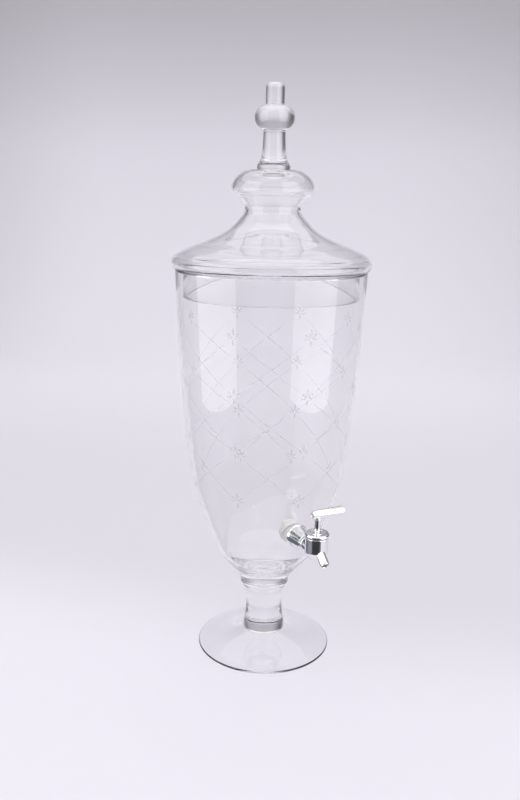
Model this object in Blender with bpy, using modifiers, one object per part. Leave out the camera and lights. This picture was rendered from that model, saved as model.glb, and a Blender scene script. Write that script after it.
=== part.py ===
"""Glass beverage dispenser: a footed glass urn with a lift-off glass lid and a chrome quarter-turn tap.

Metres, +Z up. The origin is the centre of the foot's underside, and the tap points along -Y.
The glass gathers (foot, stem, collar, bowl) are fused in one vessel, and so are the lid's (shell, knob,
finial). Each keeps its own object here, with a fine seam between them.
"""

import math

import bpy
import numpy as np

MM = 0.001

# Driving sizes of the glass ------------------------------------------------------------------------
SEAM = 0.3 * MM  # between two pieces that touch
FOOT_RADIUS = 78.6 * MM
FOOT_EDGE = 3.0 * MM
FOOT_HEIGHT = 19.7 * MM
STEM_RADIUS = 24.2 * MM
STEM_WAIST_RADIUS = 21.3 * MM
STEM_TOP_RADIUS = 23.6 * MM
STEM_HEIGHT = 51.0 * MM
COLLAR_RADIUS = 28.3 * MM
COLLAR_HEIGHT = 12.4 * MM
BOWL_HEIGHT = 364.3 * MM
MOUTH_RADIUS = 105.4 * MM
BOWL_WALL = 3.6 * MM
BOWL_FLOOR = 16.0 * MM
LID_OVERHANG = 4.5 * MM
LID_RIM_HEIGHT = 17.8 * MM
LID_SHOULDER_HEIGHT = 49.0 * MM
LID_WALL = 3.6 * MM
LID_NECK_RADIUS = 30.0 * MM
SKIRT_DEPTH = 27.0 * MM
SKIRT_WALL = 3.0 * MM
SKIRT_CLEARANCE = 4.5 * MM
KNOB_RADIUS = 45.2 * MM
KNOB_HEIGHT = 39.9 * MM
KNOB_WALL = 3.0 * MM
FINIAL_BASE_RADIUS = 17.4 * MM
FINIAL_ROD_RADIUS = 11.8 * MM
FINIAL_ROD_HEIGHT = 40.5 * MM
FINIAL_BALL_RADIUS = 21.1 * MM
FINIAL_BALL_HALF_HEIGHT = 14.5 * MM
FINIAL_TIP_RADIUS = 10.0 * MM
FINIAL_TIP_HEIGHT = 22.0 * MM
FINIAL_TENON_RADIUS = 12.2 * MM
FINIAL_TENON_LENGTH = 9.0 * MM

# Driving sizes of the tap --------------------------------------------------------------------------
TAP_HEIGHT = 168.0 * MM  # of the shank's axis above the table
SHANK_RADIUS = 7.0 * MM
SHANK_BORE_RADIUS = 4.0 * MM
HOLE_CLEARANCE = 1.0 * MM  # between the shank and the hole in the glass
GASKET_RADIUS = 13.0 * MM
GASKET_THINNEST = 1.3 * MM
WASHER_THICKNESS = 1.2 * MM
NUT_THICKNESS = 6.0 * MM
NUT_ACROSS_FLATS = 21.0 * MM
SHANK_BEYOND_NUT = 3.5 * MM
BELL_LENGTH = 22.0 * MM
BELL_RADIUS = 13.2 * MM
BELL_END_RADIUS = 9.4 * MM
NECK_RADIUS = 8.7 * MM
NECK_LENGTH = 10.4 * MM  # from the bell to the wall of the barrel
BARREL_RADIUS = 12.3 * MM
BARREL_HEIGHT = 14.4 * MM  # of its straight wall, over the round bottom
BARREL_LIFT = 2.8 * MM  # of the round bottom's centre above the shank's axis
CHAMBER_RADIUS = 7.1 * MM
CHAMBER_DEPTH = 7.3 * MM  # of its floor below the round bottom's centre
PORT_RADIUS = 3.2 * MM
PLUG_RADIUS = 6.7 * MM
PLUG_HEIGHT = 15.4 * MM
RING_THICKNESS = 1.6 * MM
RING_RADIUS = 6.0 * MM  # to the middle of the ring's section
PACKING_THICKNESS = 1.6 * MM
BONNET_RADIUS = 13.3 * MM
BONNET_HEIGHT = 4.3 * MM
HANDLE_STEM_RADIUS = 3.25 * MM
HANDLE_STEM_FREE = 15.7 * MM  # of the stem showing between bonnet and bar
BAR_RADIUS = 4.5 * MM  # at its short end
BAR_END_RADIUS = 5.3 * MM  # at its long end
BAR_LONG_END = 29.6 * MM
BAR_SHORT_END = 6.8 * MM
SCREW_RADIUS = 1.5 * MM
SPOUT_RADIUS = 5.0 * MM
SPOUT_BORE_RADIUS = 3.6 * MM
SPOUT_TILT = math.radians(52)  # from straight down, outward
SPOUT_REACH = 20.5 * MM  # of the spout's end out from the barrel's axis
SPOUT_DROP = 8.0 * MM  # of the spout's end below the shank's axis

# Facets round each turned piece, all multiples of four
BIG_FACETS = 40
MIDDLE_FACETS = 28
SMALL_FACETS = 20

# Places that follow from the sizes
COLLAR_BOTTOM = FOOT_HEIGHT + STEM_HEIGHT + 2 * SEAM
BOWL_BOTTOM = COLLAR_BOTTOM + COLLAR_HEIGHT + SEAM
RIM = BOWL_BOTTOM + BOWL_HEIGHT
LID_BOTTOM = RIM + SEAM
NECK_TOP = LID_BOTTOM + LID_RIM_HEIGHT + LID_SHOULDER_HEIGHT
KNOB_BOTTOM = NECK_TOP + SEAM
FINIAL_BOTTOM = KNOB_BOTTOM + KNOB_HEIGHT + SEAM


# Outlines: lists of (radius, height), running down the outer side -----------------------------------
def flowing(points, per_span=2):
    """A smooth outline through the points, as a Catmull-Rom curve."""
    points = [np.array(point, float) for point in points]
    ends = [2 * points[0] - points[1], *points, 2 * points[-1] - points[-2]]
    outline = []
    for before, start, stop, after in zip(ends, ends[1:], ends[2:], ends[3:]):
        for step in range(per_span):
            t = step / per_span
            outline.append(
                0.5
                * (
                    2 * start
                    + (stop - before) * t
                    + (2 * before - 5 * start + 4 * stop - after) * t**2
                    + (3 * start - before - 3 * stop + after) * t**3
                )
            )
    outline.append(points[-1])
    return [tuple(point) for point in outline]


def arc(centre, radii, start, stop, steps):
    """Points on an ellipse, from one angle to another in degrees; 0 is outward and 90 is up."""
    angles = np.radians(np.linspace(start, stop, steps + 1))
    return [(centre[0] + radii[0] * math.cos(a), centre[1] + radii[1] * math.sin(a)) for a in angles]


def shifted(outline, distance):
    """The outline moved along its normals, outward where the distance is positive."""
    points = np.array(outline)
    along = np.gradient(points, axis=0)
    along /= np.linalg.norm(along, axis=1)[:, None]
    return [tuple(p) for p in points + distance * np.column_stack([-along[:, 1], along[:, 0]])]


def placed(fractions, radius, low, high):
    return [(r * radius, low + z * (high - low)) for r, z in fractions]


def bowl_outside():
    """Rim to base: nearly straight high up, then round into the collar."""
    shape = [
        (1.0, 1.0),
        (0.961, 0.771),
        (0.901, 0.530),
        (0.811, 0.335),
        (0.712, 0.237),
        (0.598, 0.148),
        (0.527, 0.102),
        (0.427, 0.066),
        (0.325, 0.030),
    ]
    base = (COLLAR_RADIUS - 0.8 * MM, BOWL_BOTTOM)
    return flowing([*placed(shape, MOUTH_RADIUS, BOWL_BOTTOM, RIM), base])


def bowl_inside():
    """Rim to floor, one wall inside the outline and round at the floor."""
    floor = BOWL_BOTTOM + BOWL_FLOOR
    wall = [point for point in shifted(bowl_outside(), -BOWL_WALL) if point[1] > floor + 0.7 * BOWL_FLOOR]
    wall[0] = (wall[0][0], RIM)
    radius, height = wall[-1]
    low = height - floor
    return [*wall, (0.80 * radius, floor + 0.52 * low), (0.52 * radius, floor + 0.17 * low), (0, floor)]


def radius_at(outline, height):
    radii, heights = np.array(outline).T
    order = np.argsort(heights)
    return float(np.interp(height, heights[order], radii[order]))


# Materials ------------------------------------------------------------------------------------------
def material(name, color, roughness, metallic=0.0, transmission=0.0, ior=1.5):
    made = bpy.data.materials.new(name)
    made.use_nodes = True
    shader = made.node_tree.nodes["Principled BSDF"]
    shader.inputs["Base Color"].default_value = (*color, 1)
    shader.inputs["Roughness"].default_value = roughness
    shader.inputs["Metallic"].default_value = metallic
    shader.inputs["Transmission Weight"].default_value = transmission
    shader.inputs["IOR"].default_value = ior
    return made


# Objects --------------------------------------------------------------------------------------------
UP = (0, 0, 0)
FACET_OFFSET = math.radians(4)  # keeps the facets of crossing pieces from lining up
ALONG_TAP = (math.radians(90), FACET_OFFSET, 0)  # turns +Z to -Y
ALONG_BAR = (0, math.radians(90), 0)  # turns +Z to +X


def turned(name, outline, look=None, facets=SMALL_FACETS, closed=False, at=(0, 0, 0), lying=UP):
    """A turned piece, or a cutter where it has no look. A closed outline makes a ring."""
    count = len(outline)
    edges = [(i, i + 1) for i in range(count - 1)] + ([(count - 1, 0)] if closed else [])
    mesh = bpy.data.meshes.new(name)
    mesh.from_pydata([(r, 0, z) for r, z in outline], edges, [])
    obj = bpy.data.objects.new(name, mesh)
    screw = obj.modifiers.new("turn", "SCREW")
    screw.steps = screw.render_steps = facets
    screw.use_merge_vertices = True
    screw.merge_threshold = 1e-5
    screw.use_smooth_shade = True
    obj.location = at
    obj.rotation_euler = lying
    if look:
        mesh.materials.append(look)
        PIECES.objects.link(obj)
    else:
        obj.hide_render = True
        obj.display_type = "WIRE"
        CUTTERS.objects.link(obj)
    return obj


def rod(name, radius, low, high, **options):
    """A plain cylinder from one height to another."""
    return turned(name, [(0, high), (radius, high), (radius, low), (0, low)], **options)


def tube(radius, bore, low, high, edge=0.0):
    """The closed outline of a ring with square or chamfered edges."""
    if not edge:
        return [(radius, high), (radius, low), (bore, low), (bore, high)]
    return [
        (radius - edge, high),
        (radius, high - edge),
        (radius, low + edge),
        (radius - edge, low),
        (bore, low),
        (bore, high),
    ]


def combine(obj, operation, *others):
    for other in others:
        boolean = obj.modifiers.new(f"{operation.lower()} {other.name}", "BOOLEAN")
        boolean.operation = operation
        boolean.object = other
        # A cut can leave two points at one place, which would spoil the next one.
        obj.modifiers.new("weld", "WELD").merge_threshold = 1e-5


# The vessel -----------------------------------------------------------------------------------------
def foot(glass):
    top = flowing(
        [
            (STEM_RADIUS + 0.3 * MM, FOOT_HEIGHT),
            (0.37 * FOOT_RADIUS, 0.84 * FOOT_HEIGHT),
            (0.45 * FOOT_RADIUS, 0.66 * FOOT_HEIGHT),
            (0.56 * FOOT_RADIUS, 0.48 * FOOT_HEIGHT),
            (0.72 * FOOT_RADIUS, 0.31 * FOOT_HEIGHT),
            (FOOT_RADIUS - 1.2 * MM, FOOT_EDGE),
        ]
    )
    edge = [(FOOT_RADIUS, FOOT_EDGE - 1.2 * MM), (FOOT_RADIUS, 0.8 * MM), (FOOT_RADIUS - 0.8 * MM, 0)]
    turned("glass_foot", [(0, FOOT_HEIGHT), *top, *edge, (0, 0)], glass, BIG_FACETS)


def stem(glass):
    low = FOOT_HEIGHT + SEAM
    high = low + STEM_HEIGHT
    side = flowing(
        [
            (STEM_TOP_RADIUS, high),
            (STEM_WAIST_RADIUS + 0.4 * MM, low + 0.775 * STEM_HEIGHT),
            (STEM_WAIST_RADIUS, low + 0.60 * STEM_HEIGHT),
            (STEM_WAIST_RADIUS + 1.1 * MM, low + 0.36 * STEM_HEIGHT),
            (STEM_RADIUS - 0.4 * MM, low + 0.13 * STEM_HEIGHT),
            (STEM_RADIUS, low),
        ],
        1,
    )
    turned("glass_stem", [(0, high), *side, (0, low)], glass, MIDDLE_FACETS)


def collar(glass):
    """Two rounded rings, the upper one wider."""
    high = COLLAR_BOTTOM + COLLAR_HEIGHT
    middle = COLLAR_BOTTOM + 0.5 * COLLAR_HEIGHT
    upper_core = COLLAR_RADIUS - 2.6 * MM
    lower_core = STEM_TOP_RADIUS - 0.6 * MM
    half = 0.25 * COLLAR_HEIGHT
    upper = arc((upper_core, middle + half), (2.6 * MM, half), 80, -80, 4)
    lower = arc((lower_core, middle - half), (2.2 * MM, half), 80, -80, 4)
    outline = [(0, high), (upper_core, high), *upper, *lower, (lower_core, COLLAR_BOTTOM), (0, COLLAR_BOTTOM)]
    turned("glass_collar", outline, glass, MIDDLE_FACETS)


def bowl(glass):
    outside = bowl_outside()
    inside = bowl_inside()
    body = turned(
        "glass_bowl",
        [*reversed(inside), *outside, (0, BOWL_BOTTOM)],
        glass,
        BIG_FACETS,
    )
    hole = rod(
        "hole_for_shank",
        SHANK_RADIUS + HOLE_CLEARANCE,
        0.5 * MOUTH_RADIUS,
        1.5 * MOUTH_RADIUS,
        at=(0, 0, TAP_HEIGHT),
        lying=ALONG_TAP,
    )
    combine(body, "DIFFERENCE", hole)


# The lid --------------------------------------------------------------------------------------------
def lid_shell(glass, body):
    """Rolled rim, concave shoulder and neck, with a skirt that hangs inside the mouth."""
    rim_radius = MOUTH_RADIUS + LID_OVERHANG
    rim_middle = LID_BOTTOM + 0.5 * LID_RIM_HEIGHT
    roll = (10.0 * MM, 0.5 * LID_RIM_HEIGHT)
    rim_arc = arc((rim_radius - roll[0], rim_middle), roll, 46, -56, 6)
    run = rim_arc[0][0] - LID_NECK_RADIUS
    low = rim_arc[0][1]
    rise = NECK_TOP - low
    # Each pair is (share of the way out from the neck, share of the way up to its top).
    shape = [(0.0, 1.0), (0.020, 0.88), (0.105, 0.73), (0.25, 0.52), (0.53, 0.315), (0.725, 0.21), (0.905, 0.10)]
    shoulder = flowing([*[(LID_NECK_RADIUS + u * run, low + v * rise) for u, v in shape], rim_arc[0]])
    skirt_radius = radius_at(bowl_inside(), RIM) - SKIRT_CLEARANCE
    skirt_bottom = LID_BOTTOM - SKIRT_DEPTH
    skirt_bore = skirt_radius - SKIRT_WALL
    under = [(MOUTH_RADIUS - 0.4 * MM, LID_BOTTOM), (skirt_radius, LID_BOTTOM)]
    hem = arc((skirt_radius - 0.5 * SKIRT_WALL, skirt_bottom), (0.5 * SKIRT_WALL, 0.5 * SKIRT_WALL), 0, -180, 4)
    vault = shifted(shoulder, -LID_WALL)[:-1]
    vault[0] = (LID_NECK_RADIUS - LID_WALL, NECK_TOP)
    hollow = arc((rim_radius - roll[0], rim_middle), (roll[0] - LID_WALL, roll[1] - LID_WALL), -70, 40, 5)
    corner = (skirt_bore, LID_BOTTOM + 0.5 * LID_WALL)
    outline = [*shoulder[:-1], *rim_arc, *under, *hem, corner, *hollow, *reversed(vault)]
    turned("lid_shell", outline, glass, BIG_FACETS, closed=True).parent = body


def lid_knob(glass, body):
    """A hollow bulb over the neck, open to the inside of the lid."""
    top = KNOB_BOTTOM + KNOB_HEIGHT
    bun = [(0.575, 0.985), (0.719, 0.93), (0.852, 0.825), (0.947, 0.692), (1.0, 0.52), (0.988, 0.42)]
    throat = [(0.935, 0.355), (0.85, 0.298), (0.796, 0.218), (0.719, 0.13), (0.668, 0.06)]
    side = [*placed(bun + throat, KNOB_RADIUS, KNOB_BOTTOM, top), (LID_NECK_RADIUS, KNOB_BOTTOM)]
    hole = FINIAL_TENON_RADIUS + SEAM
    inside = shifted(side, -KNOB_WALL)
    inside[-1] = (LID_NECK_RADIUS - LID_WALL, KNOB_BOTTOM)
    outline = [(hole, top), (FINIAL_BASE_RADIUS - 1.0 * MM, top), *side, *reversed(inside), (hole, inside[0][1])]
    turned("lid_knob", outline, glass, MIDDLE_FACETS, closed=True).parent = body


def lid_finial(glass, body):
    """Solid rod on a flared base, with a flattened ball and a short round-ended tip."""
    ball = FINIAL_BOTTOM + FINIAL_ROD_HEIGHT + 0.82 * FINIAL_BALL_HALF_HEIGHT
    above = math.degrees(math.acos(FINIAL_TIP_RADIUS / FINIAL_BALL_RADIUS))
    below = math.degrees(math.acos(FINIAL_ROD_RADIUS / FINIAL_BALL_RADIUS))
    radii = (FINIAL_BALL_RADIUS, FINIAL_BALL_HALF_HEIGHT)
    round_ball = arc((0, ball), radii, above, -below, 8)
    tip_bottom = round_ball[0][1]
    tip = arc((FINIAL_TIP_RADIUS - 5 * MM, tip_bottom + FINIAL_TIP_HEIGHT - 5 * MM), (5 * MM, 5 * MM), 90, 0, 4)
    rod_side = flowing(
        [
            (FINIAL_ROD_RADIUS, FINIAL_BOTTOM + 0.9 * FINIAL_ROD_HEIGHT),
            (FINIAL_ROD_RADIUS + 0.8 * MM, FINIAL_BOTTOM + 0.56 * FINIAL_ROD_HEIGHT),
            (FINIAL_BASE_RADIUS - 3.0 * MM, FINIAL_BOTTOM + 0.29 * FINIAL_ROD_HEIGHT),
            (FINIAL_BASE_RADIUS, FINIAL_BOTTOM + 1.2 * MM),
        ]
    )
    tenon_bottom = FINIAL_BOTTOM - FINIAL_TENON_LENGTH
    tenon = [
        (FINIAL_BASE_RADIUS - 1.0 * MM, FINIAL_BOTTOM),
        (FINIAL_TENON_RADIUS, FINIAL_BOTTOM),
        *arc((0, tenon_bottom + 5 * MM), (FINIAL_TENON_RADIUS, 5 * MM), 0, -75, 3),
    ]
    top = (0, tip_bottom + FINIAL_TIP_HEIGHT)
    outline = [top, *tip, *round_ball, *rod_side, *tenon, (0, tenon_bottom)]
    turned("lid_finial", outline, glass, MIDDLE_FACETS).parent = body


# The tap: heights along its own axis are distances out from the vessel's axis ------------------------
FACE = radius_at(bowl_outside(), TAP_HEIGHT + GASKET_RADIUS) + SEAM + GASKET_THINNEST
BACK = radius_at(bowl_inside(), TAP_HEIGHT - GASKET_RADIUS) - SEAM - GASKET_THINNEST
BELL_BACK = FACE + SEAM
BELL_FRONT = BELL_BACK + BELL_LENGTH
BARREL_AXIS = BELL_FRONT + SEAM + NECK_LENGTH + BARREL_RADIUS
WASHER_BACK = BACK - SEAM - WASHER_THICKNESS
NUT_BACK = WASHER_BACK - SEAM - NUT_THICKNESS
SHANK_END = NUT_BACK - SHANK_BEYOND_NUT
BARREL_CENTRE = TAP_HEIGHT + BARREL_LIFT
BARREL_TOP = BARREL_CENTRE + BARREL_HEIGHT
CHAMBER_FLOOR = BARREL_CENTRE - CHAMBER_DEPTH
PLUG_BOTTOM = CHAMBER_FLOOR + SEAM
PLUG_TOP = PLUG_BOTTOM + PLUG_HEIGHT
PACKING_BOTTOM = PLUG_TOP + SEAM
PACKING_TOP = PACKING_BOTTOM + PACKING_THICKNESS
BONNET_BOTTOM = BARREL_TOP + SEAM
BONNET_TOP = BONNET_BOTTOM + BONNET_HEIGHT
BAR_HEIGHT = BONNET_TOP + HANDLE_STEM_FREE + BAR_RADIUS
STEM_PASSAGE = HANDLE_STEM_RADIUS + SEAM
ON_TAP = {"at": (0, 0, TAP_HEIGHT), "lying": ALONG_TAP}
ON_BARREL = {"at": (0, -BARREL_AXIS, 0)}
SPOUT_END = (0, -BARREL_AXIS - SPOUT_REACH, TAP_HEIGHT - SPOUT_DROP)
ALONG_SPOUT = (math.pi - SPOUT_TILT, 0, 0)  # turns +Z to outward and down


def clamp(silicone, nylon):
    """What holds the tap in the wall: wedge gaskets cut to the glass, a washer and a hex nut."""
    passage = SHANK_RADIUS + SEAM
    outer = turned("gasket_outer", tube(GASKET_RADIUS, passage, 0.5 * FACE, FACE), silicone, closed=True, **ON_TAP)
    outside = [(0, RIM), *shifted(bowl_outside(), SEAM), (0, BOWL_BOTTOM - SEAM)]
    combine(outer, "DIFFERENCE", turned("bowl_outside", outside, facets=BIG_FACETS))
    inner = turned("gasket_inner", tube(GASKET_RADIUS, passage, BACK, 1.5 * BACK), silicone, closed=True, **ON_TAP)
    inside = [(0, RIM), *shifted(bowl_inside(), -SEAM)[:-1], (0, BOWL_BOTTOM + BOWL_FLOOR + SEAM)]
    combine(inner, "INTERSECT", turned("bowl_inside", inside, facets=BIG_FACETS))
    washer = tube(GASKET_RADIUS, passage, WASHER_BACK, WASHER_BACK + WASHER_THICKNESS, 0.2 * MM)
    turned("shank_washer", washer, nylon, closed=True, **ON_TAP)
    corner = NUT_ACROSS_FLATS / 2 / math.cos(math.radians(30))
    nut = rod("shank_nut", corner, NUT_BACK, NUT_BACK + NUT_THICKNESS, look=nylon, facets=6, **ON_TAP)
    combine(nut, "DIFFERENCE", rod("hole_in_nut", passage, NUT_BACK - MM, BACK, **ON_TAP))


def bell(chrome):
    side = [
        (BELL_END_RADIUS - 0.5 * MM, BELL_FRONT),
        (BELL_END_RADIUS, BELL_FRONT - 0.5 * MM),
        (BELL_RADIUS - 0.6 * MM, BELL_BACK + 2.6 * MM),
        (BELL_RADIUS, BELL_BACK + 1.8 * MM),
        (BELL_RADIUS, BELL_BACK + 0.4 * MM),
        (BELL_RADIUS - 0.4 * MM, BELL_BACK),
    ]
    bore = SHANK_RADIUS + SEAM
    outline = [*side, (bore, BELL_BACK), (bore, BELL_FRONT)]
    turned("tap_bell", outline, chrome, MIDDLE_FACETS, closed=True, **ON_TAP)


def barrel(chrome):
    """A round-bottomed barrel with its valve chamber, and the neck and shank behind it."""
    bottom = arc((0, BARREL_CENTRE), (BARREL_RADIUS, BARREL_RADIUS), 0, -90, 8)
    outline = [
        (0, BARREL_TOP),
        (BARREL_RADIUS - 0.4 * MM, BARREL_TOP),
        (BARREL_RADIUS, BARREL_TOP - 0.4 * MM),
        *bottom[:-1],
        (0, bottom[-1][1]),
    ]
    body = turned("tap_body", outline, chrome, MIDDLE_FACETS, **ON_BARREL)
    neck_back = BELL_FRONT + SEAM
    shank = turned(
        "neck_and_shank",
        [
            (0, BARREL_AXIS),
            (NECK_RADIUS, BARREL_AXIS),
            (NECK_RADIUS, neck_back + 0.4 * MM),
            (NECK_RADIUS - 0.4 * MM, neck_back),
            (SHANK_RADIUS, neck_back),
            (SHANK_RADIUS, SHANK_END + 0.8 * MM),
            (SHANK_RADIUS - 0.8 * MM, SHANK_END),
            (0, SHANK_END),
        ],
        **ON_TAP,
    )
    combine(body, "UNION", shank)
    chamber = rod("chamber", CHAMBER_RADIUS, CHAMBER_FLOOR, BARREL_TOP + MM, facets=MIDDLE_FACETS, **ON_BARREL)
    inlet = rod("inlet", SHANK_BORE_RADIUS, SHANK_END - MM, BARREL_AXIS - 0.5 * CHAMBER_RADIUS, **ON_TAP)
    outlet = rod("outlet", PORT_RADIUS, BARREL_AXIS + 0.5 * CHAMBER_RADIUS, BARREL_AXIS + 2 * BARREL_RADIUS, **ON_TAP)
    combine(body, "DIFFERENCE", chamber, inlet, outlet)


def spout(chrome):
    """A tilted tube whose root is cut to the barrel."""
    length = 2 * SPOUT_REACH
    outline = tube(SPOUT_RADIUS, SPOUT_BORE_RADIUS, -length, 0, 0.5 * MM)
    pipe = turned("tap_spout", outline, chrome, closed=True, at=SPOUT_END, lying=ALONG_SPOUT)
    top = BARREL_TOP + SPOUT_REACH + BARREL_RADIUS
    radius = BARREL_RADIUS + SEAM
    bottom = arc((0, BARREL_CENTRE), (radius, radius), 0, -90, 8)[:-1]
    saddle = [(0, top), (radius, top), *bottom, (0, BARREL_CENTRE - radius)]
    combine(pipe, "DIFFERENCE", turned("saddle_of_barrel", saddle, facets=MIDDLE_FACETS, **ON_BARREL))
    behind = rod("behind_barrel", 4 * BARREL_RADIUS, -2 * top, 2 * top, at=(0, 4 * BARREL_RADIUS - BARREL_AXIS, 0))
    combine(pipe, "DIFFERENCE", behind)


def valve(brass, rubber, packing_look, chrome, body):
    """The turning plug with its two sealing rings, and the packing and bonnet that hold it down."""
    groove_radius = RING_RADIUS - RING_THICKNESS / 2 - SEAM
    groove_half = RING_THICKNESS / 2 + SEAM
    ring_heights = [PLUG_TOP - 2.2 * MM, PLUG_TOP - 5.4 * MM]
    side = []
    for height in ring_heights:
        side += [(PLUG_RADIUS, height + groove_half), (groove_radius, height + groove_half)]
        side += [(groove_radius, height - groove_half), (PLUG_RADIUS, height - groove_half)]
    tenon = HANDLE_STEM_RADIUS - 1.0 * MM
    socket = tenon + SEAM
    socket_floor = PLUG_TOP - 5.0 * MM
    outline = [
        (0, socket_floor),
        (socket, socket_floor),
        (socket, PLUG_TOP),
        (PLUG_RADIUS, PLUG_TOP),
        *side,
        (PLUG_RADIUS, PLUG_BOTTOM),
        (0, PLUG_BOTTOM),
    ]
    plug = turned("valve_plug", [(r, z - TAP_HEIGHT) for r, z in outline], brass)
    plug.parent = body
    port = rod("port", PORT_RADIUS, -2 * PLUG_RADIUS, 2 * PLUG_RADIUS, lying=ALONG_BAR)
    port.parent = body
    combine(plug, "DIFFERENCE", port)
    for name, height in zip(("plug_ring_upper", "plug_ring_lower"), ring_heights):
        section = arc((RING_RADIUS, height - TAP_HEIGHT), (RING_THICKNESS / 2, RING_THICKNESS / 2), 90, -225, 7)
        turned(name, section, rubber, closed=True).parent = body
    packing = tube(PLUG_RADIUS, STEM_PASSAGE, PACKING_BOTTOM, PACKING_TOP)
    turned("bonnet_packing", packing, packing_look, closed=True, **ON_BARREL)
    bonnet = [
        (STEM_PASSAGE, BONNET_TOP),
        (BONNET_RADIUS - 1.2 * MM, BONNET_TOP),
        *arc((BONNET_RADIUS - 1.2 * MM, BONNET_TOP - 1.2 * MM), (1.2 * MM, 1.2 * MM), 60, 0, 2),
        (BONNET_RADIUS, BONNET_BOTTOM + 0.3 * MM),
        (BONNET_RADIUS - 0.3 * MM, BONNET_BOTTOM),
        (CHAMBER_RADIUS - SEAM, BONNET_BOTTOM),
        (CHAMBER_RADIUS - SEAM, PACKING_TOP + SEAM),
        (STEM_PASSAGE, PACKING_TOP + SEAM),
    ]
    turned("tap_bonnet", bonnet, chrome, MIDDLE_FACETS, closed=True, **ON_BARREL)
    stem_bottom = PLUG_TOP + SEAM
    tenon_bottom = socket_floor + SEAM
    stem_top = BAR_HEIGHT + 2.0 * MM
    stem_side = [
        (0, stem_top),
        (HANDLE_STEM_RADIUS, stem_top),
        (HANDLE_STEM_RADIUS, stem_bottom),
        (tenon, stem_bottom),
        (tenon, tenon_bottom),
        (0, tenon_bottom),
    ]
    turned("valve_stem", [(r, z - TAP_HEIGHT) for r, z in stem_side], chrome).parent = body


def handle(chrome, steel, body):
    """An off-centre cross bar on the stem, held by a grub screw in its short end."""
    height = BAR_HEIGHT - TAP_HEIGHT
    groove = -BAR_SHORT_END + 2.2 * MM
    side = [
        (0, BAR_LONG_END),
        (BAR_END_RADIUS - 0.7 * MM, BAR_LONG_END),
        (BAR_END_RADIUS, BAR_LONG_END - 0.7 * MM),
        (BAR_RADIUS, groove + 0.4 * MM),
        (BAR_RADIUS - 0.4 * MM, groove + 0.2 * MM),
        (BAR_RADIUS - 0.4 * MM, groove - 0.2 * MM),
        (BAR_RADIUS, groove - 0.4 * MM),
        (BAR_RADIUS, -BAR_SHORT_END + 0.7 * MM),
        (BAR_RADIUS - 0.7 * MM, -BAR_SHORT_END),
        (0, -BAR_SHORT_END),
    ]
    bar = turned("handle_bar", side, chrome, MIDDLE_FACETS, at=(0, 0, height), lying=ALONG_BAR)
    bar.parent = body
    socket = rod("handle_socket", STEM_PASSAGE, height - 2 * BAR_RADIUS, height + 2.0 * MM + SEAM)
    tapping = rod("screw_hole", SCREW_RADIUS + SEAM, -2 * BAR_SHORT_END, 0, at=(0, 0, height), lying=ALONG_BAR)
    for cutter in (socket, tapping):
        cutter.parent = body
        combine(bar, "DIFFERENCE", cutter)
    screw = rod(
        "handle_screw",
        SCREW_RADIUS,
        -BAR_SHORT_END + SEAM,
        -STEM_PASSAGE,
        look=steel,
        at=(0, 0, height),
        lying=ALONG_BAR,
    )
    screw.parent = body


def axis_of(name, location):
    """An empty on the axis of a moving body, which its pieces hang from."""
    empty = bpy.data.objects.new(name, None)
    empty.location = location
    empty.empty_display_size = 20 * MM
    PIECES.objects.link(empty)
    return empty


for old in list(bpy.data.objects):
    bpy.data.objects.remove(old)
PIECES = bpy.data.collections.new("beverage_dispenser")
CUTTERS = bpy.data.collections.new("cutters")
CUTTERS.hide_render = True
for collection in (PIECES, CUTTERS):
    bpy.context.scene.collection.children.link(collection)

CLEAR_GLASS = material("clear_glass", (0.97, 0.97, 0.98), 0.02, transmission=1.0, ior=1.5)
CHROME = material("chrome", (0.86, 0.86, 0.88), 0.06, metallic=1.0)
STEEL = material("stainless_steel", (0.62, 0.61, 0.60), 0.28, metallic=1.0)
BRASS = material("plug_brass", (0.72, 0.58, 0.33), 0.30, metallic=1.0)
SILICONE = material("clear_silicone", (0.82, 0.81, 0.80), 0.45)
RUBBER = material("ring_rubber", (0.03, 0.03, 0.03), 0.60)
PACKING = material("packing_plastic", (0.90, 0.90, 0.88), 0.40)

foot(CLEAR_GLASS)
stem(CLEAR_GLASS)
collar(CLEAR_GLASS)
bowl(CLEAR_GLASS)
LID_AXIS = axis_of("lid_axis", (0, 0, 0))
lid_shell(CLEAR_GLASS, LID_AXIS)
lid_knob(CLEAR_GLASS, LID_AXIS)
lid_finial(CLEAR_GLASS, LID_AXIS)
clamp(SILICONE, PACKING)
bell(CHROME)
barrel(CHROME)
spout(CHROME)
VALVE_AXIS = axis_of("valve_axis", (0, -BARREL_AXIS, TAP_HEIGHT))
valve(BRASS, RUBBER, PACKING, CHROME, VALVE_AXIS)
handle(CHROME, STEEL, VALVE_AXIS)
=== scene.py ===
"""Looks of the glass beverage dispenser: fused clear glass with a cut pattern, and a chrome tap.

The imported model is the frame. Sizes come from its boxes, and the glass outlines are shares of them.
Metres, +Z up, tap towards -Y.
"""

import math

import bmesh
import bpy
import numpy as np
from mathutils import Matrix, Vector


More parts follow.
